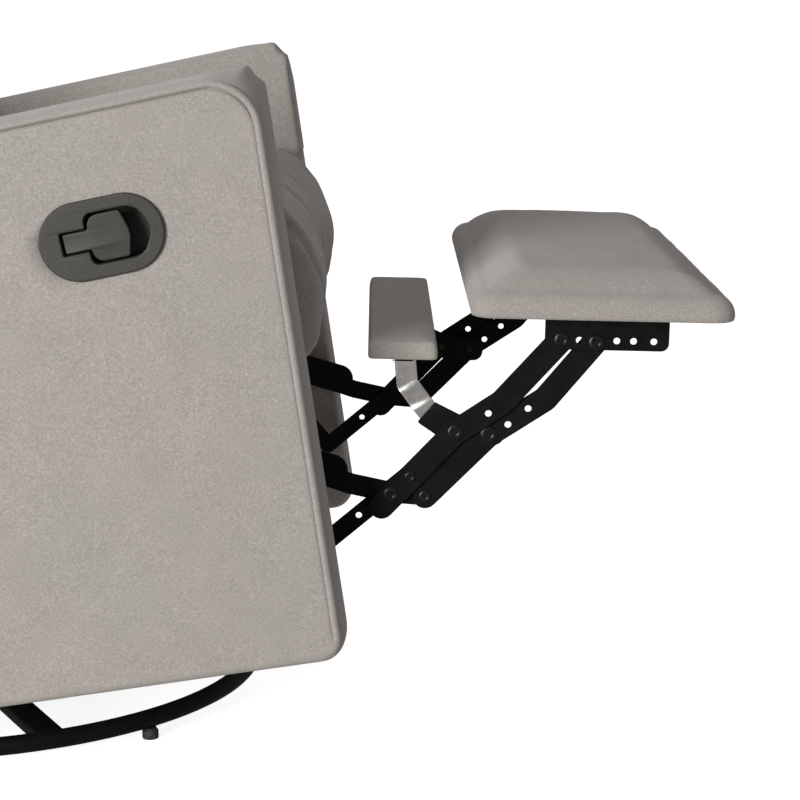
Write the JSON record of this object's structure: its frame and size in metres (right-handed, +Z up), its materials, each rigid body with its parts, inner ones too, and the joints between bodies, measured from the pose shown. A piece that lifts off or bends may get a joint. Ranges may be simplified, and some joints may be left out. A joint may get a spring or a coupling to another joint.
{
  "type": "glider nursery chair",
  "caption": "Upholstered gliding and swivelling armchair on a ring base, with a reclining back and a lever-released folding footrest shown open.",
  "frame": {"origin": "on the floor, under the centre of the ring base, on the swivel's axis", "axes": "+X forward, the way the sitter faces; +Y to the sitter's left; +Z up"},
  "size_m": [1.2715, 0.7763, 1.0313],
  "materials": {
    "fabric": "matte heathered weave",
    "steel": "satin black",
    "bright_steel": "brushed",
    "plastic": "fine grain",
    "rubber": "matte",
    "board": "plain plywood"
  },
  "bodies": {
    "base": {"base_ring": "steel", "foot_1": "rubber", "foot_2": "rubber", "foot_3": "rubber", "foot_4": "rubber"},
    "swivel": {"swivel_platform": "steel"},
    "front_hangers": {"hanger_front_right": "steel", "hanger_front_left": "steel"},
    "rear_hangers": {"hanger_rear_right": "steel", "hanger_rear_left": "steel"},
    "seat": {"seat_frame": "steel", "seat_deck": "board", "seat_cushion": "fabric", "arm_right": "fabric", "arm_left": "fabric", "facing_right": "fabric", "facing_left": "fabric", "handle_housing": "plastic", "side_plate_right": "steel", "side_plate_left": "steel"},
    "paddle": {"handle_paddle": "plastic"},
    "backrest": {"back_shell": "fabric", "back_cushion_lower": "fabric", "back_cushion_middle": "fabric", "back_cushion_upper": "fabric"},
    "cranks": {"crank_right": "steel", "crank_left": "steel"},
    "low_links": {"low_link_right": "steel", "low_link_left": "steel"},
    "rear_front_links": {"rear_front_link_right": "steel", "rear_front_link_left": "steel"},
    "fore_front_links": {"fore_front_link_right": "steel", "fore_front_link_left": "steel"},
    "small_rest": {"mid_bracket_right": "steel", "mid_bracket_left": "steel", "strap_right": "bright_steel", "strap_left": "bright_steel", "small_pad": "fabric"},
    "main_rest": {"footrest_bracket_right": "steel", "footrest_bracket_left": "steel", "main_pad": "fabric"}
  },
  "joints": [
    {"name": "swivel_turn", "type": "hinge", "parent": "base", "child": "swivel", "pos_m": [0, 0, 0.0311], "axis": [0, 0, 1], "continuous": true},
    {"name": "glide_swing", "type": "hinge", "parent": "swivel", "child": "front_hangers", "pos_m": [0.11, 0, 0.205], "axis": [0, 1, 0], "range_deg": [-18, 18]},
    {"name": "glide_seat", "type": "hinge", "parent": "front_hangers", "child": "seat", "pos_m": [0.11, 0, 0.105], "axis": [0, 1, 0], "range_deg": [-18, 18]},
    {"name": "glide_rear", "type": "hinge", "parent": "swivel", "child": "rear_hangers", "pos_m": [-0.11, 0, 0.205], "axis": [0, 1, 0], "range_deg": [-18, 18]},
    {"name": "back_recline", "type": "hinge", "parent": "seat", "child": "backrest", "pos_m": [-0.14998, 0, 0.30425], "axis": [0, 1, 0], "range_deg": [-35, 0]},
    {"name": "paddle_pull", "type": "hinge", "parent": "seat", "child": "paddle", "pos_m": [0.18471, -0.3845, 0.53354], "axis": [0.1857, 0, -0.9826], "range_deg": [0, 30], "stiffness_Nm_per_rad": 0.05},
    {"name": "footrest_open", "type": "hinge", "parent": "seat", "child": "cranks", "pos_m": [0.2662, 0, 0.33755], "axis": [0, 1, 0], "range_deg": [0, 81]},
    {"name": "footrest_low", "type": "hinge", "parent": "seat", "child": "low_links", "pos_m": [0.28579, 0, 0.355], "axis": [0, 1, 0], "range_deg": [0, 81]},
    {"name": "footrest_rear", "type": "hinge", "parent": "cranks", "child": "rear_front_links", "pos_m": [0.48167, 0, 0.26452], "axis": [0, 1, 0], "range_deg": [-81, 0]},
    {"name": "footrest_fore", "type": "hinge", "parent": "cranks", "child": "fore_front_links", "pos_m": [0.51567, 0, 0.26099], "axis": [0, 1, 0], "range_deg": [-81, 0]},
    {"name": "small_rest_turn", "type": "hinge", "parent": "rear_front_links", "child": "small_rest", "pos_m": [0.54667, 0, 0.32603], "axis": [0, 1, 0], "range_deg": [0, 81]},
    {"name": "main_rest_turn", "type": "hinge", "parent": "rear_front_links", "child": "main_rest", "pos_m": [0.65341, 0, 0.41732], "axis": [0, 1, 0], "range_deg": [0, 81]}
  ],
  "couplings": [
    {"joint": "glide_seat", "follows": "glide_swing", "ratio": -1},
    {"joint": "glide_rear", "follows": "glide_swing", "ratio": 1},
    {"joint": "footrest_low", "follows": "footrest_open", "ratio": 1},
    {"joint": "footrest_rear", "follows": "footrest_open", "ratio": -1},
    {"joint": "footrest_fore", "follows": "footrest_open", "ratio": -1},
    {"joint": "small_rest_turn", "follows": "footrest_open", "ratio": 1},
    {"joint": "main_rest_turn", "follows": "footrest_open", "ratio": 1}
  ]
}
